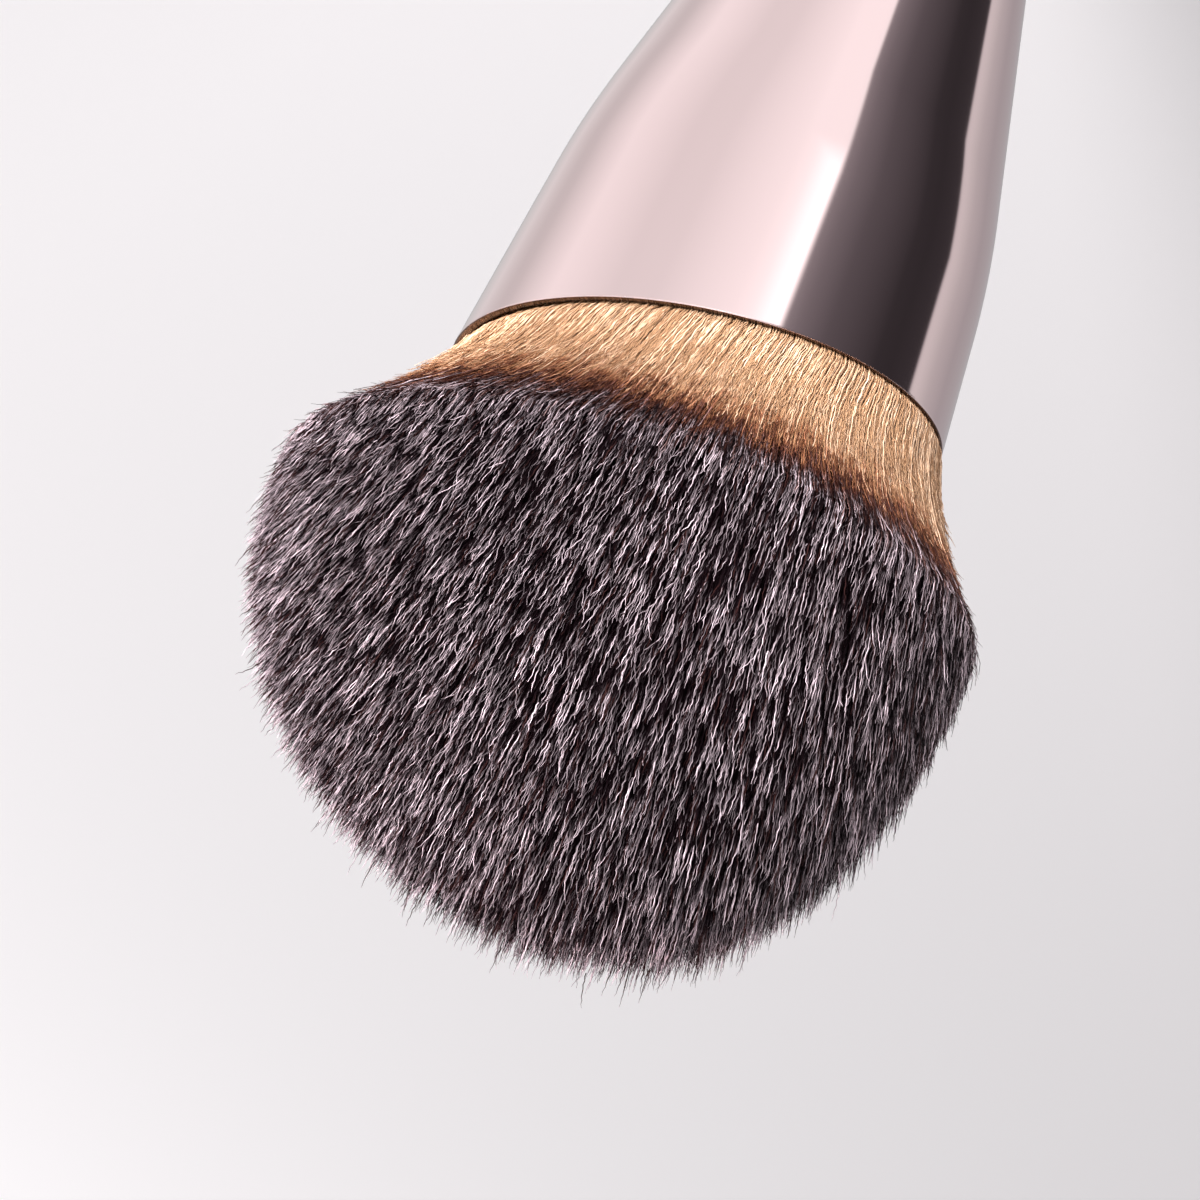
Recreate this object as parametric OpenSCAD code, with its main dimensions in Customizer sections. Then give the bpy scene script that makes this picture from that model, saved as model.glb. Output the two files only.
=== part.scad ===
// Kabuki makeup brush, standing on its base with the head up.
// The origin is the centre of the flat base and +Z runs up the handle's axis.

/* [Ferrule] */
// Outer radius of the ferrule at the middle of its mouth
mouth_r = 15; // [12:0.1:20]
// Height of the mouth's middle above the kink in the ferrule
collar_h = 15; // [12:0.5:22]
// Outer radius of the ferrule at the kink
kink_r = 13.75; // [11:0.05:14]
// Height of the tapered part below the kink
taper_h = 23; // [16:0.5:30]
// Height above and below the kink that its outer bend takes up
kink_bend = 4; // [1:0.5:6]
// Outer radius of the ferrule at its lower end
ferrule_low_r = 8.95; // [8:0.05:10]
// Wall of the ferrule
ferrule_wall = 0.5; // [0.3:0.1:0.8]
// Slope of the mouth, which is cut higher on the +X side
mouth_tilt = 10.7; // [0:0.1:14]

/* [Bristle head] */
// Number of modelled strands
strand_count = 470; // [300:10:500]
// Gap between the hair and the ferrule's wall at the mouth
root_gap = 0.7; // [0.4:0.1:2]
// Greatest radius of the head
head_r = 21.4; // [17:0.1:23]
// Height of the widest place above the mouth
widest_h = 10.8; // [9:0.1:16]
// Height of the dome's top above the mouth
head_h = 34.2; // [30:0.1:40]
// Roundness of the dome: 2 is an ellipse, and more is squarer
dome_power = 2.16; // [1.8:0.02:2.6]
// Sideways lean of the head at its top
head_lean = 7.1; // [0:0.1:9]
// Turn of the dome towards the side it leans to
head_turn = 17.2; // [0:0.1:24]
// Direction that the head leans to, counted from +X
lean_dir = 19; // [0:1:360]
// Thickness of a strand at the widest place
strand_w = 1.7; // [0.8:0.05:1.8]

/* [Hair knot] */
// Depth of the knot cup's rim below the mouth
cup_depth = 4; // [3:0.5:6]
// Wall and floor of the knot cup
cup_wall = 0.7; // [0.5:0.1:1]
// Thickness of the slice of glued roots that carries the strands
slice_h = 2; // [1.5:0.1:3]
// Height of the cup's underside above the kink
cup_seat = 0.6; // [0.1:0.1:1]
// Gap between the outermost strands' middles and the cup's wall
strand_inset = 0.6; // [0.5:0.1:1.5]
// Thickness of the thread that ties the knot
tie_d = 1.2; // [0.8:0.1:1.2]
// Depth of glue that covers the thread, below it and beside it
tie_cover = 0.8; // [0.4:0.1:0.8]

/* [Handle] */
// Height of the handle from the end cap to the ferrule
handle_h = 47; // [42:0.5:60]
// Radius of the handle at its foot
foot_r = 13; // [11.5:0.1:16]
// Radius of the handle's waist
waist_r = 7.6; // [7.2:0.1:8]
// Height of the straight band above the end cap
foot_band_h = 5.5; // [3:0.5:8]
// Length of the neck, from the waist up to the ferrule
neck_h = 13; // [8:0.5:15]
// Step from the ferrule's outer edge in to the handle's shoulder
shoulder_step = 0.25; // [0.1:0.05:0.35]
// Length of the tenon inside the ferrule
tenon_h = 13; // [8:0.5:15]
// Thinnest place of the glue round the tenon
tenon_gap = 0.05; // [0.05:0.05:0.3]

/* [Weight and end cap] */
// Radius of the steel weight
weight_r = 6; // [4:0.1:6.2]
// Length of the steel weight
weight_h = 20; // [12:0.5:24]
// Gap between the weight and the handle's bore
weight_gap = 0.1; // [0.05:0.05:0.2]
// Thickness of the end cap's disc
cap_h = 3; // [2:0.5:5]
// Length of the end cap's spigot in the bore
spigot_h = 3; // [2:0.5:5]
// Size of the bevel round the foot
cap_bevel = 0.6; // [0.3:0.1:1]

/* [Hidden] */

ferrule_z = cap_h + handle_h;
kink_z = ferrule_z + taper_h;
mouth_z = kink_z + collar_h;
collar_slope = (mouth_r - kink_r) / collar_h;
// Highest point that the slanted mouth reaches above its middle, with room to cut
mouth_rise = (mouth_r + 1) * tan(mouth_tilt) + 1;
root_r = mouth_r - ferrule_wall - root_gap;
bore_low_r = ferrule_low_r - ferrule_wall;
tenon_r = bore_low_r - tenon_gap;
bore_kink_r = kink_r - ferrule_wall;
weight_top = cap_h + spigot_h + weight_h;
bore_r = weight_r + weight_gap;
cup_floor_z = kink_z + cup_seat + cup_wall;
// Radius at which the strands start in the slice of glued roots
slice_r = collar_bore_r(mouth_z - cup_depth) - cup_wall - strand_inset;
golden_angle = 180 * (3 - sqrt(5));
strand_sides = 3;
// Thickness of a strand at its root, as a share of the room it has there
root_fill = 0.62;
// Heights of a strand's middle rings, as shares of the widest place's height and of the strand's own
low_ring = 0.45;
high_ring = 0.92;
$fn = 96;

// Radius of the collar's bore at a height, a cone that keeps the collar's slope
function collar_bore_r(z) = mouth_r - ferrule_wall - (mouth_z - z) * collar_slope;

// Turns a place in the tilted frame of the mouth into one in the part's frame
function from_mouth(p) = [
    p[0] * cos(mouth_tilt) - p[2] * sin(mouth_tilt),
    p[1],
    mouth_z + p[0] * sin(mouth_tilt) + p[2] * cos(mouth_tilt)
];

// Radius of the bundle of strands at a height above the mouth
function bundle_r(h) = h < 0
    ? slice_r + (root_r - slice_r) * (h + cup_depth) / cup_depth
    : root_r + (head_r - root_r) * sin(90 * min(h, widest_h) / widest_h);

// Place of a strand that stands at a share of the bundle's radius and at an angle
function strand_point(share, angle, h) =
    let (r = share * bundle_r(h),
         x = r * cos(angle),
         y = r * sin(angle),
         lean = max(h, 0) / head_h,
         drop = tan(head_turn) * (x * cos(lean_dir) + y * sin(lean_dir)))
    from_mouth([
        x + head_lean * lean * cos(lean_dir),
        y + head_lean * lean * sin(lean_dir),
        h - lean * drop
    ]);

// Height at which a strand ends on the dome
function tip_h(share) = widest_h
    + (head_h - widest_h) * pow(1 - pow(share, dome_power), 1 / dome_power);

// Everything below the slanted plane that lies at a height above the mouth's middle
module below_mouth(h) {
    size = 4 * head_r;
    translate([0, 0, mouth_z])
        rotate([0, -mouth_tilt, 0])
            translate([-size / 2, -size / 2, h - size])
                cube([size, size, size]);
}

// Cone that follows the collar's bore between two heights, smaller by a wall
module bore_cone(z_low, z_high, wall) {
    translate([0, 0, z_low])
        cylinder(r1 = collar_bore_r(z_low) - wall, r2 = collar_bore_r(z_high) - wall, h = z_high - z_low);
}

// Disc with a spigot that closes the handle's bore and is the flat foot
module end_cap() {
    color([0.82, 0.62, 0.62])
        rotate_extrude()
            polygon([
                [0, 0],
                [foot_r - cap_bevel, 0],
                [foot_r, cap_bevel],
                [foot_r, cap_h],
                [bore_r, cap_h],
                [bore_r, cap_h + spigot_h],
                [0, cap_h + spigot_h]
            ]);
}

// Steel slug that keeps the brush standing on its foot
module weight_slug() {
    color([0.55, 0.56, 0.58])
        translate([0, 0, cap_h + spigot_h])
            cylinder(r = weight_r, h = weight_h);
}

// Lacquered handle with a bore from below and a tenon on top
module handle() {
    waist_z = ferrule_z - neck_h;
    foot_z = cap_h + foot_band_h;
    top_r = ferrule_low_r - shoulder_step;
    steps = 24;
    // The side falls from the foot to the waist and swells again to the ferrule, both as half waves
    side = [for (i = [0:steps])
        let (t = i / steps)
        [waist_r + (foot_r - waist_r) * (1 + cos(180 * t)) / 2, foot_z + (waist_z - foot_z) * t]];
    neck_steps = 8;
    neck = [for (i = [1:neck_steps])
        let (t = i / neck_steps)
        [waist_r + (top_r - waist_r) * (1 - cos(180 * t)) / 2, waist_z + (ferrule_z - waist_z) * t]];
    color([0.07, 0.06, 0.065])
        difference() {
            rotate_extrude()
                polygon(concat(
                    [[0, cap_h], [foot_r, cap_h]],
                    side,
                    neck,
                    [[tenon_r, ferrule_z], [tenon_r, ferrule_z + tenon_h], [0, ferrule_z + tenon_h]]
                ));
            cylinder(r = bore_r, h = weight_top + weight_gap);
        }
}

// Glue that fills the room between the straight tenon and the ferrule, which widens upwards
module tenon_glue() {
    widening = (bore_kink_r - bore_low_r) / taper_h;
    color([0.75, 0.62, 0.4])
        rotate_extrude()
            polygon([
                [tenon_r, ferrule_z],
                [bore_low_r, ferrule_z],
                [bore_low_r + tenon_h * widening, ferrule_z + tenon_h],
                [tenon_r, ferrule_z + tenon_h]
            ]);
}

// Polished shell with a conical collar, a soft kink and a steeper taper to the handle
module ferrule() {
    taper_slope = (kink_r - ferrule_low_r) / taper_h;
    steps = 8;
    // The bend is the parabola that leaves the taper and joins the collar without a corner
    bend = [for (i = [0:steps])
        let (t = i / steps,
             below = kink_bend * (1 - t) * (1 - t),
             above = kink_bend * t * t)
        [kink_r - taper_slope * below + collar_slope * above, kink_z - below + above]];
    color([0.89, 0.76, 0.76])
        intersection() {
            rotate_extrude()
                polygon(concat(
                    [[ferrule_low_r, ferrule_z]],
                    bend,
                    [
                        [mouth_r + mouth_rise * collar_slope, mouth_z + mouth_rise],
                        [mouth_r - ferrule_wall + mouth_rise * collar_slope, mouth_z + mouth_rise],
                        [bore_kink_r, kink_z],
                        [bore_low_r, ferrule_z]
                    ]
                ));
            below_mouth(0);
        }
}

// Cup that the glued hair knot sits in, pressed into the collar from its mouth
module knot_cup() {
    color([0.32, 0.2, 0.15])
        intersection() {
            difference() {
                bore_cone(cup_floor_z - cup_wall, mouth_z, 0);
                bore_cone(cup_floor_z, mouth_z + 1, cup_wall);
            }
            below_mouth(-cup_depth);
        }
}

// Ring of binding thread round the knot, low in the glue plug
module tie_ring() {
    tie_z = cup_floor_z + tie_cover + tie_d / 2;
    ring_r = collar_bore_r(tie_z) - cup_wall - tie_cover - tie_d / 2;
    translate([0, 0, tie_z])
        rotate_extrude()
            translate([ring_r, 0])
                circle(d = tie_d, $fn = 32);
}

// Hardened glue that pots the roots in the cup
module glue_plug() {
    color([0.75, 0.62, 0.4])
        difference() {
            intersection() {
                bore_cone(cup_floor_z, mouth_z, cup_wall);
                below_mouth(-cup_depth - slice_h);
            }
            tie_ring();
        }
}

module knot_tie() {
    color([0.85, 0.82, 0.76]) tie_ring();
}

// One strand: rings of three corners that rise from the slice, and a pointed tip
module strand(share, angle) {
    top = tip_h(share);
    root_w = root_fill * slice_r * sqrt(PI / strand_count);
    rings = [
        [-cup_depth - slice_h / 2, root_w],
        [low_ring * widest_h, (root_w + strand_w) / 2],
        [high_ring * top, strand_w]
    ];
    points = concat(
        [for (ring = rings)
            let (middle = strand_point(share, angle, ring[0]))
            for (side = [0:strand_sides - 1])
                middle + ring[1] / 2 * [
                    cos(angle + side * 360 / strand_sides),
                    sin(angle + side * 360 / strand_sides),
                    0
                ]],
        [strand_point(share, angle, top)]
    );
    last = len(rings) - 1;
    tip = len(points) - 1;
    faces = concat(
        [[for (side = [0:strand_sides - 1]) side]],
        [for (ring = [0:last - 1])
            for (side = [0:strand_sides - 1])
                let (a = ring * strand_sides + side,
                     b = ring * strand_sides + (side + 1) % strand_sides)
                for (face = [[a, a + strand_sides, b], [b, a + strand_sides, b + strand_sides]]) face],
        [for (side = [0:strand_sides - 1])
            [last * strand_sides + side, tip, last * strand_sides + (side + 1) % strand_sides]]
    );
    polyhedron(points, faces);
}

// Bristle head: strands fused to the slice of glued roots that sits in the cup
module bristles() {
    color([0.42, 0.34, 0.34]) {
        intersection() {
            bore_cone(cup_floor_z, mouth_z, cup_wall, $fn = 48);
            difference() {
                below_mouth(-cup_depth);
                below_mouth(-cup_depth - slice_h);
            }
        }
        for (i = [0:strand_count - 1])
            strand(sqrt((i + 0.5) / strand_count), i * golden_angle);
    }
}

end_cap();
weight_slug();
handle();
tenon_glue();
ferrule();
knot_cup();
glue_plug();
knot_tie();
bristles();
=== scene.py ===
import math
import bmesh
import bpy
import numpy as np
from mathutils import Matrix, Vector, kdtree


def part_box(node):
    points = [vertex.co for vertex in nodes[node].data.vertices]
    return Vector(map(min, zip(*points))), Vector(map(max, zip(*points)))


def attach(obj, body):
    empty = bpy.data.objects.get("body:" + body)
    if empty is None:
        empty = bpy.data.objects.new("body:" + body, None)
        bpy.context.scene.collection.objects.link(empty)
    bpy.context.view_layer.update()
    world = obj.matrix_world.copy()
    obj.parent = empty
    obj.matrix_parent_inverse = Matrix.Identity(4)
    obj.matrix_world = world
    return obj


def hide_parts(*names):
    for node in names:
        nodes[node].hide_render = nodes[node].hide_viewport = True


# A kabuki makeup brush that stands on its foot, head up, as the frame holds it: a lacquered
# handle, a polished pink-gold ferrule and a dense head of crimped two-tone hair.
MM = 0.001
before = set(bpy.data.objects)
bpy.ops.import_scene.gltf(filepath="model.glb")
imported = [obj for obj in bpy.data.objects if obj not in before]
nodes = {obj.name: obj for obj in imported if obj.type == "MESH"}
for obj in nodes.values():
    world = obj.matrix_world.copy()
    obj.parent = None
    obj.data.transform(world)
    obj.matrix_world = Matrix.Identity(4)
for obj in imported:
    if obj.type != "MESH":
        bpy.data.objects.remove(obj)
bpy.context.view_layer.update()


# End cap: a turned aluminium disc, plated pink gold like the ferrule and polished. Its spigot is
# pressed into the handle's bore, and it is the flat foot that the brush stands on.
ROSE_GOLD = (0.84, 0.66, 0.665)
CLOUDED = 0.97  # share of its colour that the plating keeps where it is faintly clouded
LINE_SCALE = (900.0, 900.0, 9000.0)  # polishing lines run round a piece, so they are fine along it
LINE_RELIEF = 0.01 * MM
EDGE_SAMPLES = 6


def new_material(name, roughness, metallic=0.0):
    """An empty material with one shader, whose constant values sit on its own sockets."""
    material = bpy.data.materials.new(name)
    material.use_nodes = True
    shader = material.node_tree.nodes["Principled BSDF"]
    shader.inputs["Roughness"].default_value = roughness
    shader.inputs["Metallic"].default_value = metallic
    return material, material.node_tree, shader


def put(tree, kind, **sockets):
    """A new shader node with the given input values."""
    node = tree.nodes.new(kind)
    for name, value in sockets.items():
        node.inputs[name.replace("_", " ")].default_value = value
    return node


def maths(tree, operation, kind="ShaderNodeMath"):
    """A new node that works out one sum."""
    node = tree.nodes.new(kind)
    node.operation = operation
    return node


def vector_maths(tree, operation):
    """A new node that works out one sum with vectors."""
    return maths(tree, operation, "ShaderNodeVectorMath")


def ramp(tree, *stops):
    """A new colour ramp through the given places and colours, in rising order."""
    node = tree.nodes.new("ShaderNodeValToRGB")
    elements = node.color_ramp.elements
    while len(elements) < len(stops):
        elements.new(0.5)
    for element, (position, colour) in zip(elements, stops):
        element.position = position
        element.color = tuple(colour) + (1,)
    return node


def colour_by(tree, shader, texture, output, low, high):
    """Colours a shader by a texture that sits in the solid piece, from a low to a high colour."""
    place = tree.nodes.new("ShaderNodeTexCoord")
    colours = ramp(tree, (0, low), (1, high))
    tree.links.new(place.outputs["Object"], texture.inputs["Vector"])
    tree.links.new(texture.outputs[output], colours.inputs["Fac"])
    tree.links.new(colours.outputs["Color"], shader.inputs["Base Color"])


def dress(node_name, material):
    """Gives a solid of the frame its material."""
    for slot in nodes[node_name].material_slots:
        slot.material = material


def group_socket(tree, name, in_out, kind, value=None):
    """A named input or output of a node group."""
    socket = tree.interface.new_socket(name=name, in_out=in_out, socket_type=kind)
    if value is not None:
        socket.default_value = value


def handling_wear_group():
    """Fine polishing lines and faint smears, which every glossy piece of the brush has."""
    tree = bpy.data.node_groups.new("handling_wear", "ShaderNodeTree")
    group_socket(tree, "Base roughness", "INPUT", "NodeSocketFloat", 0.1)
    group_socket(tree, "Smear", "INPUT", "NodeSocketFloat", 0.05)
    group_socket(tree, "Line depth", "INPUT", "NodeSocketFloat", 0.02)
    group_socket(tree, "Roughness", "OUTPUT", "NodeSocketFloat")
    group_socket(tree, "Normal", "OUTPUT", "NodeSocketVector")
    given = tree.nodes.new("NodeGroupInput")
    result = tree.nodes.new("NodeGroupOutput")
    place = tree.nodes.new("ShaderNodeTexCoord")
    smear = put(tree, "ShaderNodeTexNoise", Scale=90.0, Detail=3.0)
    amount = maths(tree, "MULTIPLY_ADD")
    stretch = put(tree, "ShaderNodeMapping", Scale=LINE_SCALE)
    lines = put(tree, "ShaderNodeTexNoise", Scale=1.0, Detail=2.0)
    bump = put(tree, "ShaderNodeBump", Distance=LINE_RELIEF)
    link = tree.links.new
    link(place.outputs["Object"], smear.inputs["Vector"])
    link(smear.outputs["Fac"], amount.inputs[0])
    link(given.outputs["Smear"], amount.inputs[1])
    link(given.outputs["Base roughness"], amount.inputs[2])
    link(amount.outputs["Value"], result.inputs["Roughness"])
    link(place.outputs["Object"], stretch.inputs["Vector"])
    link(stretch.outputs["Vector"], lines.inputs["Vector"])
    link(lines.outputs["Fac"], bump.inputs["Height"])
    link(given.outputs["Line depth"], bump.inputs["Strength"])
    link(bump.outputs["Normal"], result.inputs["Normal"])
    return tree


handling_wear = handling_wear_group()


def wear_of(tree, roughness, smear, line_depth):
    """Places the handling wear in a material, with that finish's own values."""
    wear = tree.nodes.new("ShaderNodeGroup")
    wear.node_tree = handling_wear
    wear.inputs["Base roughness"].default_value = roughness
    wear.inputs["Smear"].default_value = smear
    wear.inputs["Line depth"].default_value = line_depth
    return wear


def rose_metal(name, roughness, edge_round):
    """Mirror-polished pink-gold plating with its sharp edges rounded by the polishing wheel."""
    material, tree, shader = new_material(name, roughness, metallic=1.0)
    cloud = put(tree, "ShaderNodeTexNoise", Scale=55.0, Detail=2.0)
    clouded = [CLOUDED * part for part in ROSE_GOLD]
    colour_by(tree, shader, cloud, "Fac", clouded, ROSE_GOLD)
    wear = wear_of(tree, roughness, smear=0.03, line_depth=0.04)
    tree.links.new(wear.outputs["Roughness"], shader.inputs["Roughness"])
    # The normal is the rounded edge's, leant by what the polishing lines add to the flat one.
    geometry = tree.nodes.new("ShaderNodeNewGeometry")
    edge = put(tree, "ShaderNodeBevel", Radius=edge_round)
    edge.samples = EDGE_SAMPLES
    lines_alone = vector_maths(tree, "SUBTRACT")
    together = vector_maths(tree, "ADD")
    evened = vector_maths(tree, "NORMALIZE")
    tree.links.new(wear.outputs["Normal"], lines_alone.inputs[0])
    tree.links.new(geometry.outputs["Normal"], lines_alone.inputs[1])
    tree.links.new(lines_alone.outputs["Vector"], together.inputs[0])
    tree.links.new(edge.outputs["Normal"], together.inputs[1])
    tree.links.new(together.outputs["Vector"], evened.inputs[0])
    tree.links.new(evened.outputs["Vector"], shader.inputs["Normal"])
    return material


dress("end_cap", rose_metal("cap_plating", 0.1, 0.2 * MM))


# Weight: a turned steel slug in the handle's foot. It slides up the bore on a film of glue, and
# the end cap's spigot holds it there.
GROOVE_STEEL = (0.40, 0.41, 0.43)
RIDGE_STEEL = (0.58, 0.59, 0.61)
material, tree, shader = new_material("turned_steel", 0.35, metallic=1.0)
grooves = put(tree, "ShaderNodeTexWave", Scale=900.0, Distortion=0.6)
grooves.bands_direction = "Z"
colour_by(tree, shader, grooves, "Fac", GROOVE_STEEL, RIDGE_STEEL)
dress("weight_slug", material)


# Handle: turned beech, sprayed black and lacquered until it shines. Its straight tenon goes into
# the ferrule, and its foot is bored for the weight.
DEEP_BLACK = (0.010, 0.008, 0.009)
SOFT_BLACK = (0.022, 0.018, 0.020)
material, tree, shader = new_material("black_lacquer", 0.08)
shader.inputs["Specular IOR Level"].default_value = 0.1
shader.inputs["Coat Weight"].default_value = 0.5
shader.inputs["Coat Roughness"].default_value = 0.04
depth = put(tree, "ShaderNodeTexNoise", Scale=120.0, Detail=4.0)
colour_by(tree, shader, depth, "Fac", DEEP_BLACK, SOFT_BLACK)
wear = wear_of(tree, 0.16, smear=0.12, line_depth=0.02)
tree.links.new(wear.outputs["Roughness"], shader.inputs["Roughness"])
tree.links.new(wear.outputs["Normal"], shader.inputs["Normal"])
dress("handle", material)


# Glue: amber epoxy, poured round the tenon and over the roots of the hair knot. It sets hard and
# shows a few trapped bubbles.
BUBBLE_AMBER = (0.70, 0.52, 0.28)
CLEAR_AMBER = (0.52, 0.34, 0.13)
material, tree, shader = new_material("amber_glue", 0.2)
bubbles = put(tree, "ShaderNodeTexVoronoi", Scale=1400.0)
colour_by(tree, shader, bubbles, "Distance", BUBBLE_AMBER, CLEAR_AMBER)
dress("tenon_glue", material)
dress("glue_plug", material)


# Ferrule: aluminium spun over a former into a conical collar, a soft kink and a steeper taper,
# then plated pink gold and polished. The slanted mouth is cut square and its lip is buffed.
TAPER_H = 23 * MM
COLLAR_H = 15 * MM
COLLAR_FLARE = 1.25 / 15  # radius that the collar gains for each unit of height
TAPER_FLARE = 4.8 / 23
KINK_BEND = 4 * MM  # the bend reaches this far above and below the kink
MOUTH_TILT = math.radians(10.7)
WALL_LIKENESS = (0.95, 0.985)  # how far a normal agrees with the spun wall before it counts as wall
LIP_LIKENESS = (0.8, 0.95)
# The lip's colour is a painted reflection of the shaded hair that stands over it.
LIP_PAINTED_REFLECTION = (0.13, 0.085, 0.07, 1)  # the buffed lip mirrors the hair that stands over it
kink_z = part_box("ferrule")[0].z + TAPER_H
mouth_z = kink_z + COLLAR_H


def map_range(tree, start, end, low=0.0, high=1.0):
    """A new node that takes a value from one range to another, and holds it at the ends."""
    return put(tree, "ShaderNodeMapRange", From_Min=start, From_Max=end, To_Min=low, To_Max=high)


def mix(tree, kind):
    """A new mix node of colours or vectors, with its first and second input and its result."""
    node = tree.nodes.new("ShaderNodeMix")
    node.data_type = kind
    first, second = [i for i in node.inputs if i.type == kind and i.name in ("A", "B")]
    result = [o for o in node.outputs if o.type == kind][0]
    return node, first, second, result


plating = rose_metal("ferrule_plating", 0.055, 0.28 * MM)
tree = plating.node_tree
shader = tree.nodes["Principled BSDF"]
link = tree.links.new
# The wall mirrors as the true spun surface does, and not as the flat faces of the solid.
usual = shader.inputs["Normal"].links[0].from_socket
place = tree.nodes.new("ShaderNodeTexCoord")
split = tree.nodes.new("ShaderNodeSeparateXYZ")
ring = tree.nodes.new("ShaderNodeCombineXYZ")
outward = vector_maths(tree, "NORMALIZE")
flare = map_range(tree, kink_z - KINK_BEND, kink_z + KINK_BEND, -TAPER_FLARE, -COLLAR_FLARE)
downward = tree.nodes.new("ShaderNodeCombineXYZ")
spun = vector_maths(tree, "ADD")
spun_unit = vector_maths(tree, "NORMALIZE")
likeness = vector_maths(tree, "DOT_PRODUCT")
on_wall = map_range(tree, *WALL_LIKENESS)
choose, off_the_wall, on_the_wall, chosen = mix(tree, "VECTOR")
link(place.outputs["Object"], split.inputs["Vector"])
link(split.outputs["X"], ring.inputs["X"])
link(split.outputs["Y"], ring.inputs["Y"])
link(split.outputs["Z"], flare.inputs["Value"])
link(ring.outputs["Vector"], outward.inputs[0])
link(flare.outputs["Result"], downward.inputs["Z"])
link(outward.outputs["Vector"], spun.inputs[0])
link(downward.outputs["Vector"], spun.inputs[1])
link(spun.outputs["Vector"], spun_unit.inputs[0])
link(usual, likeness.inputs[0])
link(spun_unit.outputs["Vector"], likeness.inputs[1])
link(likeness.outputs["Value"], on_wall.inputs["Value"])
link(on_wall.outputs["Result"], choose.inputs["Factor"])
link(usual, off_the_wall)
link(spun_unit.outputs["Vector"], on_the_wall)
link(chosen, shader.inputs["Normal"])
# The lip is where the surface faces the way that the mouth does. Its colour there is a painted reflection
# of the shaded hair, dark brown.
geometry = tree.nodes.new("ShaderNodeNewGeometry")
facing = vector_maths(tree, "DOT_PRODUCT")
facing.inputs[1].default_value = (-math.sin(MOUTH_TILT), 0, math.cos(MOUTH_TILT))
on_lip = map_range(tree, *LIP_LIKENESS)
lip, off_the_lip, on_the_lip, lipped = mix(tree, "RGBA")
on_the_lip.default_value = LIP_PAINTED_REFLECTION
link(geometry.outputs["True Normal"], facing.inputs[0])
link(facing.outputs["Value"], on_lip.inputs["Value"])
link(on_lip.outputs["Result"], lip.inputs["Factor"])
link(shader.inputs["Base Color"].links[0].from_socket, off_the_lip)
link(lipped, shader.inputs["Base Color"])
dress("ferrule", plating)


# Knot cup and binding thread: a moulded brown cup inside the collar holds the glued knot, which a
# few turns of waxed thread keep round.
CUP_DARK = (0.075, 0.035, 0.020)
CUP_PALE = (0.110, 0.052, 0.030)
THREAD_SHADE = (0.45, 0.40, 0.32)
THREAD_CREAM = (0.72, 0.68, 0.58)
material, tree, shader = new_material("cup_plastic", 0.5)
grain = put(tree, "ShaderNodeTexNoise", Scale=700.0, Detail=3.0)
colour_by(tree, shader, grain, "Fac", CUP_DARK, CUP_PALE)
dress("knot_cup", material)

material, tree, shader = new_material("waxed_thread", 0.7)
turns = put(tree, "ShaderNodeTexWave", Scale=2400.0, Distortion=1.0)
turns.bands_direction = "Z"
colour_by(tree, shader, turns, "Fac", THREAD_SHADE, THREAD_CREAM)
dress("knot_tie", material)


# Hair: crimped synthetic fibre, tan at the roots and dyed charcoal from a line that lies level
# across the head. The knot flares out of the mouth, and the tips are cut to a dome that leans.
ROOT_R = 14.5 * MM
HEAD_R = 21.4 * MM
WIDEST_H = 10.8 * MM  # heights of the hair are measured from the mouth
HEAD_H = 34.2 * MM
DOME_POWER = 2.16  # 2 is an ellipse, and more is squarer
HEAD_LEAN = 7.1 * MM
HEAD_TURN = math.radians(17.2)
LEAN_DIR = math.radians(19)
SPLAY = 0.22  # slope at which the outermost hair leaves the mouth
TRUMPET = 0.0336 / MM  # how fast that slope grows
FLARE = 0.6 * MM  # the hair swells over the lip by this
FLARE_H = 0.3 * MM
COMB = 0.35  # slope at which the hair is combed to one side
COMB_H = 6 * MM
COMB_DIR = math.radians(-20)
DYE_LINE = 8.3 * MM
DYE_TILT = math.radians(5.2)
DYE_DIR = math.radians(-15)
DYE_AXIS = Vector((-math.tan(DYE_TILT) * math.cos(DYE_DIR), -math.tan(DYE_TILT) * math.sin(DYE_DIR), 1))
DYE_LOW = -6 * MM  # level at which the dye's ramp starts
DYE_HIGH = 40 * MM  # level at which it ends
SHADES = 24
BAND_FOOT = 0.1  # share of a shade's band on the map that lies below the depth of the coat
BAND_COAT = 0.75  # share of it from the depth of the coat to its outside
BAND_FACE = 0.04  # share of it that one face of a strand takes
SECTORS = 24
random = np.random.default_rng(20)


def flow_r(height):
    """Radius of the outermost hair's path at a height above the mouth."""
    above = np.maximum(height, 0)
    below = np.minimum(height, 0)
    lip = FLARE * (1 - np.exp(-above / FLARE_H))
    return ROOT_R + COLLAR_FLARE * below + lip + SPLAY * above + TRUMPET * np.minimum(above, WIDEST_H) ** 2


def dome_r(height):
    """Radius of the cut head at a height: the outermost path below its widest place, a dome above it."""
    rise = np.clip((height - WIDEST_H) / (HEAD_H - WIDEST_H), 0, 1)
    dome = HEAD_R * (1 - rise**DOME_POWER) ** (1 / DOME_POWER)
    return np.where(height < WIDEST_H, np.minimum(flow_r(height), HEAD_R), dome)


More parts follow.
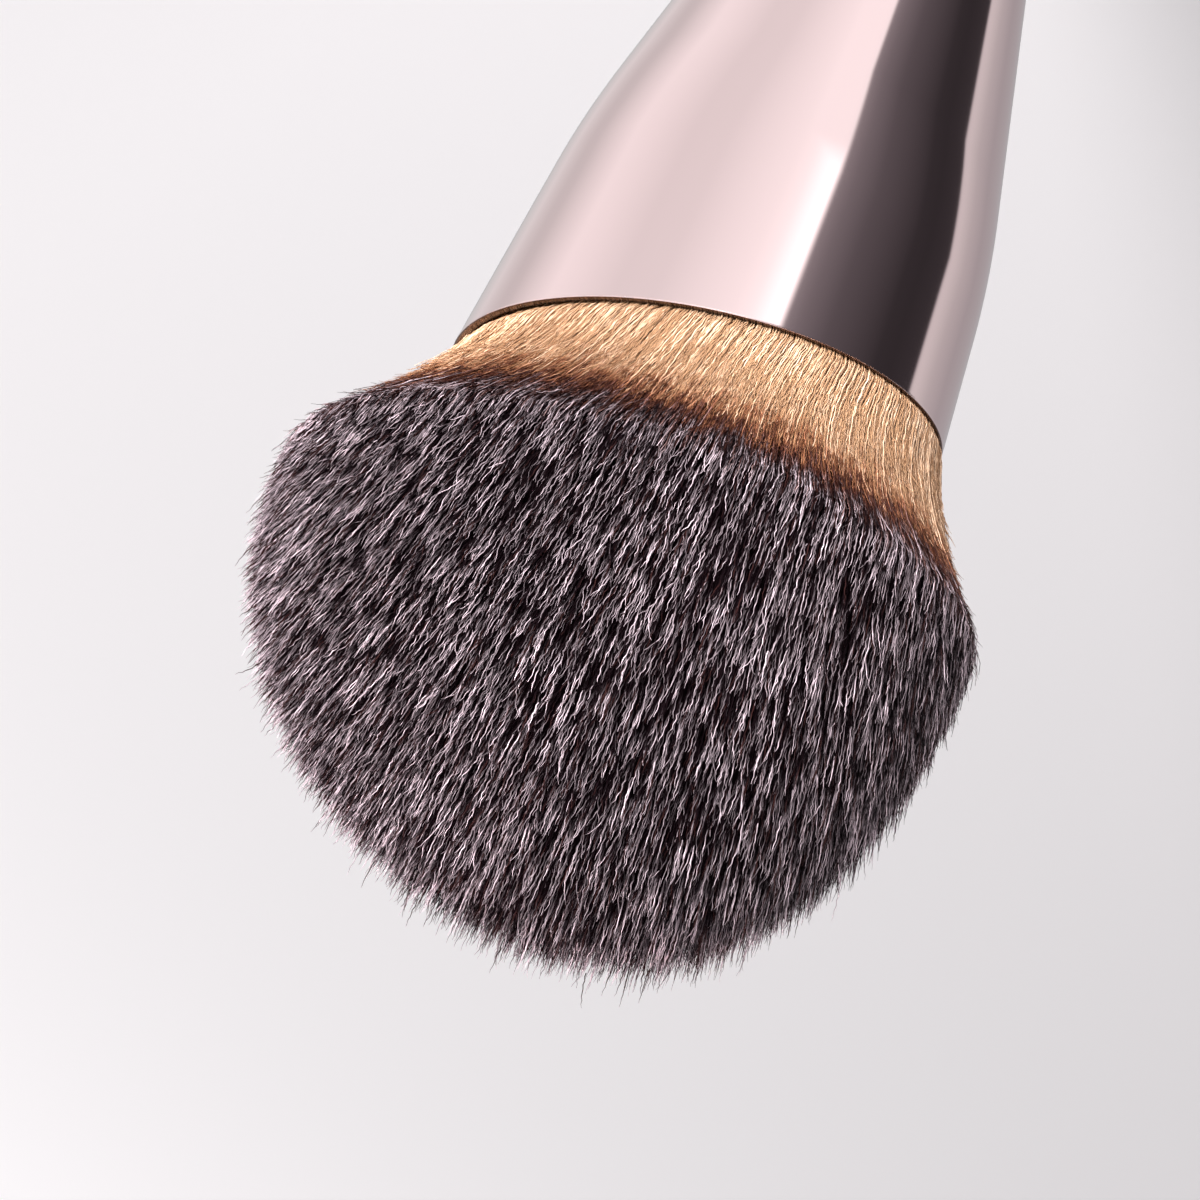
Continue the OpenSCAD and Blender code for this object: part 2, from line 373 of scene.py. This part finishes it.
def head_place(share, angle, height):
    """Where a hair that stands at a share of the bundle's radius is at a height, in the frame."""
    r = share * flow_r(height)
    combed = COMB * COMB_H * (1 - np.exp(-np.maximum(height, 0) / COMB_H)) / ROOT_R
    angle = angle - combed * np.sin(angle - COMB_DIR)
    x = r * np.cos(angle)
    y = r * np.sin(angle)
    lean = np.maximum(height, 0) / HEAD_H
    drop = math.tan(HEAD_TURN) * (x * math.cos(LEAN_DIR) + y * math.sin(LEAN_DIR))
    across = x + HEAD_LEAN * lean * math.cos(LEAN_DIR)
    along = height - lean * drop
    return np.stack([
        across * math.cos(MOUTH_TILT) - along * math.sin(MOUTH_TILT),
        y + HEAD_LEAN * lean * math.sin(LEAN_DIR),
        mouth_z + across * math.sin(MOUTH_TILT) + along * math.cos(MOUTH_TILT),
    ], -1)


def unit(vectors):
    """The same directions, each one unit long."""
    return vectors / np.linalg.norm(vectors, axis=-1, keepdims=True)


def bunch_tips(points, per_bunch, pull):
    """Draws the tips of neighbouring hairs towards each other, as crimped hair clings."""
    count = len(points)
    leaders = random.permutation(count)[: max(1, count // per_bunch)]
    tree = kdtree.KDTree(len(leaders))
    for leader in leaders:
        tree.insert(points[leader, -1], leader)
    tree.balance()
    nearest = np.array([tree.find(tip)[1] for tip in points[:, -1]])
    along = np.linspace(0, 1, points.shape[1])[None, :, None] ** 2
    return points + (points[nearest, -1:] - points[:, -1:]) * pull * along, nearest


def crimp(points, nearest, size, wave):
    """Bends each hair in small waves, sideways and a little less and quicker up and down. Hairs of
    one bunch keep nearly in step."""
    upward_share = 0.7
    upward_pace = 1.2
    count = len(points)
    along = unit(np.gradient(points, axis=1))
    outward = points - np.array([0, 0, mouth_z])
    side = unit(np.cross(along, outward))
    up = np.cross(side, along)
    steps = np.linalg.norm(np.diff(points, axis=1), axis=-1)
    run = np.concatenate([np.zeros((count, 1)), np.cumsum(steps, axis=1)], 1)
    phase = random.uniform(0, 2 * math.pi, count)[nearest] + random.normal(0, 0.5, count)
    lift = random.uniform(0, 2 * math.pi, count)[nearest] + random.normal(0, 0.6, count)
    length = wave * random.uniform(0.8, 1.25, count)
    swing = size * random.uniform(0.6, 1.4, count)
    turns = 2 * math.pi * run / length[:, None]
    sideways = swing[:, None] * np.sin(turns + phase[:, None])
    upwards = upward_share * swing[:, None] * np.sin(upward_pace * turns + lift[:, None])
    return points + sideways[..., None] * side + upwards[..., None] * up, side, up


def strand_mesh(name, points, coat, side, up, look):
    """One mesh of three-sided strands. Its map has the level across, and up it one band for each
    shade, in which a point rises from the depth of the coat to its outside."""
    count, rings = points.shape[:2]
    taper = np.linspace(0, 1, rings) ** 2
    radius = (look["width"] * (1 - taper) + look["tip_width"] * taper)[None, :, None] / 2
    turn = 2 * math.pi / 3
    corners = np.stack([
        points + radius * (math.cos(k * turn) * side + math.sin(k * turn) * up) for k in range(3)
    ], 2)
    vertices = corners.reshape(-1, 3)
    first = (np.arange(count)[:, None] * rings + np.arange(rings - 1)[None, :]) * 3
    quads = np.stack([
        np.stack([first + k, first + (k + 1) % 3, first + 3 + (k + 1) % 3, first + 3 + k], -1)
        for k in range(3)
    ], 2)
    mesh = bpy.data.meshes.new(name)
    mesh.vertices.add(len(vertices))
    mesh.vertices.foreach_set("co", vertices.astype(np.float32).ravel())
    loops = quads.reshape(-1)
    mesh.loops.add(len(loops))
    mesh.loops.foreach_set("vertex_index", loops.astype(np.int32))
    mesh.polygons.add(len(loops) // 4)
    mesh.polygons.foreach_set("loop_start", np.arange(0, len(loops), 4, dtype=np.int32))
    mesh.update(calc_edges=True)
    mesh.polygons.foreach_set("use_smooth", np.ones(len(loops) // 4, bool))
    shade = random.integers(0, SHADES, count)
    level = (points @ np.array(DYE_AXIS) - mouth_z - DYE_LOW) / (DYE_HIGH - DYE_LOW)
    layer = (shade[:, None] + BAND_FOOT + BAND_COAT * coat) / SHADES
    ends = np.stack([np.arange(rings - 1)] * 2 + [np.arange(1, rings)] * 2, -1)
    across = level[:, ends][:, :, None, :] + np.zeros((1, 1, 3, 1))
    sides = np.array([[k, k + 1, k + 1, k] for k in range(3)]) * BAND_FACE / SHADES
    along = layer[:, ends][:, :, None, :] + sides[None, None]
    places = np.stack([across, along], -1).reshape(-1).astype(np.float32)
    for map_name in ("StrandUV", "OFBake"):
        mesh.uv_layers.new(name=map_name).data.foreach_set("uv", places)
    return mesh


def dye_group():
    """The colour of the hair at a level of the head, for its darkest and its palest fibres."""
    tree = bpy.data.node_groups.new("two_tone_dye", "ShaderNodeTree")
    group_socket(tree, "Level", "INPUT", "NodeSocketFloat", 0.5)
    group_socket(tree, "Paleness", "INPUT", "NodeSocketFloat", 0.5)
    group_socket(tree, "Color", "OUTPUT", "NodeSocketColor")
    given = tree.nodes.new("NodeGroupInput")
    result = tree.nodes.new("NodeGroupOutput")
    blend, darkest, palest, blended = mix(tree, "RGBA")
    line = (DYE_LINE - DYE_LOW) / (DYE_HIGH - DYE_LOW)
    dark_stops = [
        (line - 0.055, (0.335, 0.19, 0.105)),
        (line - 0.020, (0.20, 0.080, 0.038)),
        (line + 0.005, (0.045, 0.013, 0.008)),
        (line + 0.050, (0.006, 0.003, 0.004)),
    ]
    pale_stops = [
        (line - 0.038, (0.72, 0.51, 0.36)),
        (line - 0.006, (0.43, 0.185, 0.10)),
        (line + 0.015, (0.19, 0.066, 0.038)),
        (line + 0.042, (0.30, 0.18, 0.175)),
        (line + 0.072, (0.65, 0.52, 0.57)),
    ]
    for stops, entry in ((dark_stops, darkest), (pale_stops, palest)):
        dye = ramp(tree, *stops)
        tree.links.new(given.outputs["Level"], dye.inputs["Fac"])
        tree.links.new(dye.outputs["Color"], entry)
    tree.links.new(given.outputs["Paleness"], blend.inputs["Factor"])
    tree.links.new(blended, result.inputs["Color"])
    return tree


two_tone_dye = dye_group()


def hair_material(name, spread):
    """Glossy fibre. Each shade has its own dye line and paleness. The depth of the coat is darkened as
    painted shade, the pale fibres get painted glints in short stretches, and the tips are lightened
    towards brown as a painted glow of light shining through them."""
    ragged_line = 0.014
    middling = (0.42, 0.42, 0.42)
    backlit_tip_brown = (0.13, 0.045, 0.035, 1)
    material, tree, shader = new_material(name, 0.3)
    shader.inputs["Specular IOR Level"].default_value = 0.06
    link = tree.links.new
    where = tree.nodes.new("ShaderNodeTexCoord")
    dye = tree.nodes.new("ShaderNodeGroup")
    dye.node_tree = two_tone_dye
    # The number of a strand's band draws its chances, and its place in the band is its depth.
    place = tree.nodes.new("ShaderNodeUVMap")
    place.uv_map = "StrandUV"
    split = tree.nodes.new("ShaderNodeSeparateXYZ")
    bands = maths(tree, "MULTIPLY")
    bands.inputs[1].default_value = SHADES
    whole = maths(tree, "FLOOR")
    within = maths(tree, "FRACT")
    chance = tree.nodes.new("ShaderNodeTexWhiteNoise")
    chance.noise_dimensions = "1D"
    chances = tree.nodes.new("ShaderNodeSeparateColor")
    link(place.outputs["UV"], split.inputs["Vector"])
    link(split.outputs["Y"], bands.inputs[0])
    link(bands.outputs["Value"], whole.inputs[0])
    link(bands.outputs["Value"], within.inputs[0])
    link(whole.outputs["Value"], chance.inputs["W"])
    link(chance.outputs["Color"], chances.inputs["Color"])
    # The dye line lies at another level for each shade, and is ragged from tuft to tuft.
    shift = map_range(tree, 0, 1, -spread, spread)
    level = maths(tree, "ADD")
    tufts = put(tree, "ShaderNodeTexNoise", Scale=1000.0, Detail=1.0)
    ragged = map_range(tree, 0.3, 0.7, -ragged_line, ragged_line)
    uneven = maths(tree, "ADD")
    link(chance.outputs["Value"], shift.inputs["Value"])
    link(shift.outputs["Result"], level.inputs[0])
    link(split.outputs["X"], level.inputs[1])
    link(where.outputs["Object"], tufts.inputs["Vector"])
    link(tufts.outputs["Fac"], ragged.inputs["Value"])
    link(level.outputs["Value"], uneven.inputs[0])
    link(ragged.outputs["Result"], uneven.inputs[1])
    link(uneven.outputs["Value"], dye.inputs["Level"])
    # A fibre's paleness falls off with depth, which is painted shade, varies from patch to patch, and
    # rises and falls along the fibre in painted glints.
    shade = ramp(tree, (0.36, (0, 0, 0)), (0.55, middling), (0.84, (1, 1, 1)))
    depth = map_range(tree, 0.15, 0.85)
    paleness = maths(tree, "MULTIPLY")
    patches = put(tree, "ShaderNodeTexNoise", Scale=230.0, Detail=2.0)
    patchy = map_range(tree, 0.3, 0.7, 0.62, 1.1)
    blotched = maths(tree, "MULTIPLY")
    # Painted glints: short bright stretches along each fibre.
    painted_glints = put(tree, "ShaderNodeTexNoise", Scale=1900.0, Detail=0.0)
    painted_glint_gain = map_range(tree, 0.35, 0.65, 0.6, 1.4)
    painted_glint_paleness = maths(tree, "MULTIPLY")
    painted_glint_paleness.use_clamp = True
    link(chances.outputs["Green"], shade.inputs["Fac"])
    link(within.outputs["Value"], depth.inputs["Value"])
    link(depth.outputs["Result"], paleness.inputs[0])
    link(shade.outputs["Color"], paleness.inputs[1])
    link(where.outputs["Object"], patches.inputs["Vector"])
    link(patches.outputs["Fac"], patchy.inputs["Value"])
    link(paleness.outputs["Value"], blotched.inputs[0])
    link(patchy.outputs["Result"], blotched.inputs[1])
    link(where.outputs["Object"], painted_glints.inputs["Vector"])
    link(painted_glints.outputs["Fac"], painted_glint_gain.inputs["Value"])
    link(blotched.outputs["Value"], painted_glint_paleness.inputs[0])
    link(painted_glint_gain.outputs["Result"], painted_glint_paleness.inputs[1])
    link(painted_glint_paleness.outputs["Value"], dye.inputs["Paleness"])
    # The outermost stretch of each band is the tip, which is lightened towards brown as a painted glow of
    # light shining through it.
    tip = map_range(tree, 0.72, 0.85, 0, 0.15)
    brown, dyed, backlit_brown, result = mix(tree, "RGBA")
    brown.blend_type = "LIGHTEN"
    backlit_brown.default_value = backlit_tip_brown
    link(within.outputs["Value"], tip.inputs["Value"])
    link(tip.outputs["Result"], brown.inputs["Factor"])
    link(dye.outputs["Color"], dyed)
    link(result, shader.inputs["Base Color"])
    return material


hair = hair_material("hair_fibre", 0.027)


def grow(name, share, angle, low, high, coat, look):
    """Makes hairs from a low to a high height on their paths, as one mesh for each sector."""
    along = np.linspace(0, 1, look["rings"])[None, :]
    height = low[:, None] + (high - low)[:, None] * along
    buried = 1 - look["buried"] * (1 - along) ** 2
    points = head_place(share[:, None] * buried, angle[:, None], height)
    stray = look["stray"] * np.clip(random.standard_t(3, (len(share), 1, 3)), -6, 6)
    points = points + stray * along[..., None] ** 2
    points, nearest = bunch_tips(points, look["bunch"], look["pull"])
    points, side, up = crimp(points, nearest, look["swing"], look["wave"])
    coats = coat(height)
    sector = (np.mod(angle, 2 * math.pi) / (2 * math.pi) * SECTORS).astype(int)
    for part in range(SECTORS):
        mine = sector == part
        label = f"{name}_{part + 1:02d}"
        mesh = strand_mesh(label, points[mine], coats[mine], side[mine], up[mine], look)
        mesh.materials.append(hair)
        piece = bpy.data.objects.new(label, mesh)
        bpy.context.scene.collection.objects.link(piece)
        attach(piece, "root")
        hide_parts("bristles")


# Hair of the knot's outside: it rises in one sweep from inside the mouth to the widest place, so
# it shows along its whole length.
SIDE_HAIRS = 7500
SIDE_ROOT = -2.2 * MM
SIDE_SHORTEST = 4.5 * MM
SIDE_PAST_WIDEST = 2 * MM
SIDE_SHELL = 0.93  # share of the bundle's cross-section that lies further in than these hairs
# The darkening of the roots near the mouth is painted shade.
MOUTH_SHADE = 0.3 * MM  # the mouth shades the roots from this far below it
MOUTH_SHADE_H = 1.3 * MM
side_angle = random.uniform(0, 2 * math.pi, SIDE_HAIRS)
side_high = random.uniform(SIDE_SHORTEST, WIDEST_H + SIDE_PAST_WIDEST, SIDE_HAIRS)
side_share = np.sqrt(random.uniform(SIDE_SHELL, 1.0, SIDE_HAIRS))
side_share = np.minimum(side_share, dome_r(side_high) / flow_r(side_high))
side_low = np.full(SIDE_HAIRS, SIDE_ROOT)


def side_coat(height):
    """How far outside in the coat a hair lies, which the material turns into painted shade: less in the
    shell's depth and close to the mouth.
    """
    outer = np.clip((side_share[:, None] - 0.955) / 0.035, 0.45, 1)
    return outer * np.clip((height + MOUTH_SHADE) / MOUTH_SHADE_H, 0.1, 1)


side_look = {
    "rings": 22, "width": 0.085 * MM, "tip_width": 0.035 * MM, "buried": 0, "stray": 0.15 * MM,
    "bunch": 4, "pull": 0.2, "swing": 0.045 * MM, "wave": 1.5 * MM,
}
grow("side_hair", side_share, side_angle, side_low, side_high, side_coat, side_look)

# Hair of the head: only the last stretch of each shows, so each starts a little way inside. The
# tips end near the dome, most a little short of it and a few beyond.
HEAD_HAIRS = 72000
SHOWN = 2.0 * MM
COAT = 2.0 * MM
LOWEST_TIP = 5 * MM
LOWEST_ROOT = -2 * MM
TIP_SHORT = 0.7  # mm that a tip ends short of the dome on average
TIP_SPREAD = 0.75
tip_height = LOWEST_TIP + (HEAD_H - LOWEST_TIP) * random.uniform(0, 1, HEAD_HAIRS)
tip_share = dome_r(tip_height) / flow_r(tip_height)
head_angle = random.uniform(0, 2 * math.pi, HEAD_HAIRS)
head_high = tip_height + random.normal(-TIP_SHORT, TIP_SPREAD, HEAD_HAIRS) * MM
head_low = np.maximum(head_high - SHOWN, LOWEST_ROOT)


def head_coat(height):
    """How far outside in the coat a hair lies, which the material turns into painted shade: its whole
    depth is painted dark, and the dome is outside.
    """
    return np.clip(1 - (tip_height[:, None] - height) / COAT, 0, 1)


head_look = {
    "rings": 10, "width": 0.078 * MM, "tip_width": 0.015 * MM, "buried": 0.01, "stray": 0.12 * MM,
    "bunch": 7, "pull": 0.08, "swing": 0.034 * MM, "wave": 0.75 * MM,
}
grow("head_hair", tip_share, head_angle, head_low, head_high, head_coat, head_look)


# Heart of the knot: the hair that lies too deep to be told apart, as one closed body just under the outer
# hair. Its colour is painted shade: the darkest fibres of the same dye, darkened further.
DEPTH = 1.5 * MM
MOUTH_DEPTH = 0.6 * MM
HEART_LOW = -3 * MM
HEART_POINT_R = 0.02 * MM
HEART_RINGS = 48
HEART_SIDES = 96
mesh = bpy.data.meshes.new("knot_heart")
shape = bmesh.new()
rows = []
for ring in range(HEART_RINGS + 1):
    height = HEART_LOW + (HEAD_H - DEPTH - HEART_LOW) * math.sin(math.pi / 2 * ring / HEART_RINGS)
    deep = MOUTH_DEPTH + (DEPTH - MOUTH_DEPTH) * min(max(height / WIDEST_H, 0), 1)
    outer_r = dome_r(height + deep * max(height, 0) / HEAD_H)
    share = float(max(outer_r - deep, HEART_POINT_R) / flow_r(height))
    angles = np.linspace(0, 2 * math.pi, HEART_SIDES, endpoint=False)
    places = head_place(np.full(HEART_SIDES, share), angles, np.full(HEART_SIDES, height))
    rows.append([shape.verts.new(place) for place in places])
for lower_row, upper_row in zip(rows, rows[1:]):
    for k in range(HEART_SIDES):
        after = (k + 1) % HEART_SIDES
        shape.faces.new([lower_row[k], lower_row[after], upper_row[after], upper_row[k]])
shape.faces.new(rows[0][::-1])
shape.faces.new(rows[-1])
for face in shape.faces:
    face.smooth = True
shape.to_mesh(mesh)
shape.free()
material, tree, shader = new_material("hair_in_shadow", 0.9)
shader.inputs["Specular IOR Level"].default_value = 0
place = tree.nodes.new("ShaderNodeTexCoord")
height = vector_maths(tree, "DOT_PRODUCT")
height.inputs[1].default_value = DYE_AXIS
rise = map_range(tree, mouth_z + DYE_LOW, mouth_z + DYE_HIGH)
dye = tree.nodes.new("ShaderNodeGroup")
dye.node_tree = two_tone_dye
dye.inputs["Paleness"].default_value = 0.0
# Painted shade: the heart is darker than the dye itself.
shadow = vector_maths(tree, "SCALE")
shadow.inputs["Scale"].default_value = 0.8
tree.links.new(place.outputs["Object"], height.inputs[0])
tree.links.new(height.outputs["Value"], rise.inputs["Value"])
tree.links.new(rise.outputs["Result"], dye.inputs["Level"])
tree.links.new(dye.outputs["Color"], shadow.inputs[0])
tree.links.new(shadow.outputs["Vector"], shader.inputs["Base Color"])
mesh.materials.append(material)
heart = bpy.data.objects.new("knot_heart", mesh)
bpy.context.scene.collection.objects.link(heart)
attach(heart, "root")
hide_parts("bristles")


# Floor: one flat sheet of pale card that reaches out of sight. To the camera alone it glows a
# little, more towards one side and far off, where the soft boxes hardly reach it.
FLOOR_HALF = 2.5
CARD = (0.84, 0.805, 0.818, 1)
CARD_GLOW = (1, 0.97, 0.98, 1)
GLOW_TOWARDS = (0.6, 1.0, 0)  # the glow's gain for each metre
GLOW_DELAY = 0.025
GLOW_MOST = 0.45
FAR_START = 0.62
FAR_END = 1.0
FAR_GLOW = 0.55
floor_mesh = bpy.data.meshes.new("floor")
floor_corners = [(FLOOR_HALF * x, FLOOR_HALF * y, 0) for x, y in ((-1, -1), (1, -1), (1, 1), (-1, 1))]
floor_mesh.from_pydata(floor_corners, [], [(0, 1, 2, 3)])
material, tree, shader = new_material("pale_card", 0.9)
shader.inputs["Base Color"].default_value = CARD
shader.inputs["Emission Color"].default_value = CARD_GLOW
where = tree.nodes.new("ShaderNodeTexCoord")
across = vector_maths(tree, "DOT_PRODUCT")
across.inputs[1].default_value = GLOW_TOWARDS
delayed = maths(tree, "ADD")
delayed.inputs[1].default_value = -GLOW_DELAY
delayed.use_clamp = True
at_most = maths(tree, "MINIMUM")
at_most.inputs[1].default_value = GLOW_MOST
distance = vector_maths(tree, "LENGTH")
far = map_range(tree, FAR_START, FAR_END, 0, FAR_GLOW)
stronger = maths(tree, "MAXIMUM")
seen = tree.nodes.new("ShaderNodeLightPath")
lift = maths(tree, "MULTIPLY")
tree.links.new(where.outputs["Object"], across.inputs[0])
tree.links.new(across.outputs["Value"], delayed.inputs[0])
tree.links.new(delayed.outputs["Value"], at_most.inputs[0])
tree.links.new(where.outputs["Object"], distance.inputs[0])
tree.links.new(distance.outputs["Value"], far.inputs["Value"])
tree.links.new(at_most.outputs["Value"], stronger.inputs[0])
tree.links.new(far.outputs["Result"], stronger.inputs[1])
tree.links.new(seen.outputs["Is Camera Ray"], lift.inputs[0])
tree.links.new(stronger.outputs["Value"], lift.inputs[1])
tree.links.new(lift.outputs["Value"], shader.inputs["Emission Strength"])
floor_mesh.materials.append(material)
floor = bpy.data.objects.new("floor", floor_mesh)
bpy.context.scene.collection.objects.link(floor)
floor.visible_glossy = False


# Light tent: what polished metal mirrors in a studio. It is a ring of soft white panels and one
# black flag, and only mirrored rays see it, so it doesn't colour the hair or the floor.
CAMERA_AZIMUTH = math.radians(-65.26)
TENT_R = 1.5
PANELS = [  # degrees round from the camera, and brightness
    (-180, 0.45), (-134, 0.42), (-118, 0.54), (-107, 0.70), (-103, 0.72),
    (-101.5, 0.045), (-84, 0.035), (-74, 0.04), (-71, 0.05), (-66, 0.062), (-44, 0.115), (-30, 0.20),
    (-21.5, 0.29), (-20.5, 1.7), (-13, 1.55), (-5, 1.28), (4, 1.17), (23, 1.05), (41, 0.92), (61, 0.90),
    (83, 1.04), (95, 1.09), (108, 0.91), (122, 0.70), (128, 0.68), (146, 0.80), (180, 0.45),
]
STRIP_LOW = -0.70 * TENT_R  # the bright strip fades between these heights
STRIP_HIGH = -0.62 * TENT_R
STRIP_DIM = 1.2  # no panel is brighter than this below the fade
STRIP_FULL = 2.0  # no panel is brighter than this above it
ROOF_LOW = 0.5 * TENT_R
ROOF_HIGH = 0.75 * TENT_R
ROOF_GAIN = 2.4
FLAG_VIOLET = (0.98, 0.90, 1.0)
VIOLET_UP_TO = 0.6
tent_mesh = bpy.data.meshes.new("light_tent")
tent_shape = bmesh.new()
bmesh.ops.create_uvsphere(tent_shape, u_segments=64, v_segments=32, radius=TENT_R)
to_camera = Matrix.Rotation(CAMERA_AZIMUTH, 3, "Z")
bmesh.ops.rotate(tent_shape, cent=(0, 0, 0), matrix=to_camera, verts=tent_shape.verts)
tent_shape.to_mesh(tent_mesh)
tent_shape.free()
material = bpy.data.materials.new("tent_panels")
material.use_nodes = True
tree = material.node_tree
tree.nodes.clear()
link = tree.links.new
place = tree.nodes.new("ShaderNodeTexCoord")
turned = put(tree, "ShaderNodeMapping", Rotation=(0, 0, -CAMERA_AZIMUTH))
split = tree.nodes.new("ShaderNodeSeparateXYZ")
azimuth = maths(tree, "ARCTAN2")
share_round = map_range(tree, -math.pi, math.pi)
panels = ramp(tree, *[((degrees + 180) / 360, (level,) * 3) for degrees, level in PANELS])
dim = map_range(tree, STRIP_LOW, STRIP_HIGH, STRIP_DIM, STRIP_FULL)
level = maths(tree, "MINIMUM")
violet = ramp(tree, (0, FLAG_VIOLET), (VIOLET_UP_TO, (1, 1, 1)))
roof = map_range(tree, ROOF_LOW, ROOF_HIGH, 1, ROOF_GAIN)
strength = maths(tree, "MULTIPLY")
glow = tree.nodes.new("ShaderNodeEmission")
out = tree.nodes.new("ShaderNodeOutputMaterial")
link(place.outputs["Object"], turned.inputs["Vector"])
link(turned.outputs["Vector"], split.inputs["Vector"])
link(split.outputs["Y"], azimuth.inputs[0])
link(split.outputs["X"], azimuth.inputs[1])
link(azimuth.outputs["Value"], share_round.inputs["Value"])
link(share_round.outputs["Result"], panels.inputs["Fac"])
link(split.outputs["Z"], dim.inputs["Value"])
link(panels.outputs["Color"], level.inputs[0])
link(dim.outputs["Result"], level.inputs[1])
link(level.outputs["Value"], violet.inputs["Fac"])
link(violet.outputs["Color"], glow.inputs["Color"])
link(split.outputs["Z"], roof.inputs["Value"])
link(level.outputs["Value"], strength.inputs[0])
link(roof.outputs["Result"], strength.inputs[1])
link(strength.outputs["Value"], glow.inputs["Strength"])
link(glow.outputs["Emission"], out.inputs["Surface"])
tent_mesh.materials.append(material)
tent = bpy.data.objects.new("light_tent", tent_mesh)
bpy.context.scene.collection.objects.link(tent)
tent.location = (0, 0, mouth_z)
tent.visible_camera = False
tent.visible_diffuse = False
tent.visible_shadow = False
tent.visible_transmission = False
tent.visible_volume_scatter = False


# Studio light: an even white sky, which the camera sees brighter than it lights, and three soft
# boxes: a strong one low in front, a weak one at its side and a faint, narrow one from behind.
SKY = (0.97, 0.97, 0.98, 1)
SKY_LIGHT = 0.48
SKY_SEEN = 0.93
BACK_PINK = (1, 0.86, 0.86)
world = bpy.data.worlds.new("studio_sky")
bpy.context.scene.world = world
world.use_nodes = True
tree = world.node_tree
sky = tree.nodes["Background"]
sky.inputs["Color"].default_value = SKY
seen = tree.nodes.new("ShaderNodeLightPath")
level = map_range(tree, 0, 1, SKY_LIGHT, SKY_SEEN)
tree.links.new(seen.outputs["Is Camera Ray"], level.inputs["Value"])
tree.links.new(level.outputs["Result"], sky.inputs["Strength"])


def soft_box(name, place, aim, size, power, spread=180, colour=(1, 1, 1)):
    """A round lamp that faces its aim. Its power is in watts, and metal doesn't mirror it."""
    lamp = bpy.data.lights.new(name, "AREA")
    lamp.color = colour
    lamp.spread = math.radians(spread)
    lamp.shape = "DISK"
    lamp.size = size
    lamp.energy = power
    box = bpy.data.objects.new(name, lamp)
    box.location = place
    box.rotation_mode = "QUATERNION"
    box.rotation_quaternion = (Vector(aim) - Vector(place)).to_track_quat("-Z", "Y")
    box.visible_glossy = False
    bpy.context.scene.collection.objects.link(box)


head_middle = (0, 0, mouth_z + WIDEST_H)
soft_box("front_box", (0.50, -0.36, 0.11), head_middle, size=0.20, power=12.5)
soft_box("right_box", (-0.10, -0.50, 0.20), head_middle, size=0.20, power=1.7)
soft_box("back_box", (0.12, 0.34, 0.32), head_middle, size=0.05, power=0.07, spread=12, colour=BACK_PINK)


# Camera: a long lens that looks down past the head at the mouth, with the handle running up and
# away, as in the photograph.
LENS = 120
SENSOR = 36
CAMERA_FROM_MOUTH = Vector((90.47, -196.32, 112.19)) * MM
CAMERA_RIGHT = Vector((-0.77483, -0.52648, -0.34994))
CAMERA_UP = Vector((0.50754, -0.18806, -0.84085))
NEAREST_SEEN = 0.01
FARTHEST_SEEN = 20
camera_data = bpy.data.cameras.new("camera")
camera_data.lens = LENS
camera_data.sensor_width = SENSOR
camera_data.clip_start = NEAREST_SEEN
camera_data.clip_end = FARTHEST_SEEN
camera = bpy.data.objects.new("camera", camera_data)
turn = Matrix((CAMERA_RIGHT, CAMERA_UP, CAMERA_RIGHT.cross(CAMERA_UP))).transposed()
camera.matrix_world = Matrix.Translation(CAMERA_FROM_MOUTH + Vector((0, 0, mouth_z))) @ turn.to_4x4()
bpy.context.scene.collection.objects.link(camera)
bpy.context.scene.camera = camera
bpy.context.scene.view_settings.view_transform = "Standard"
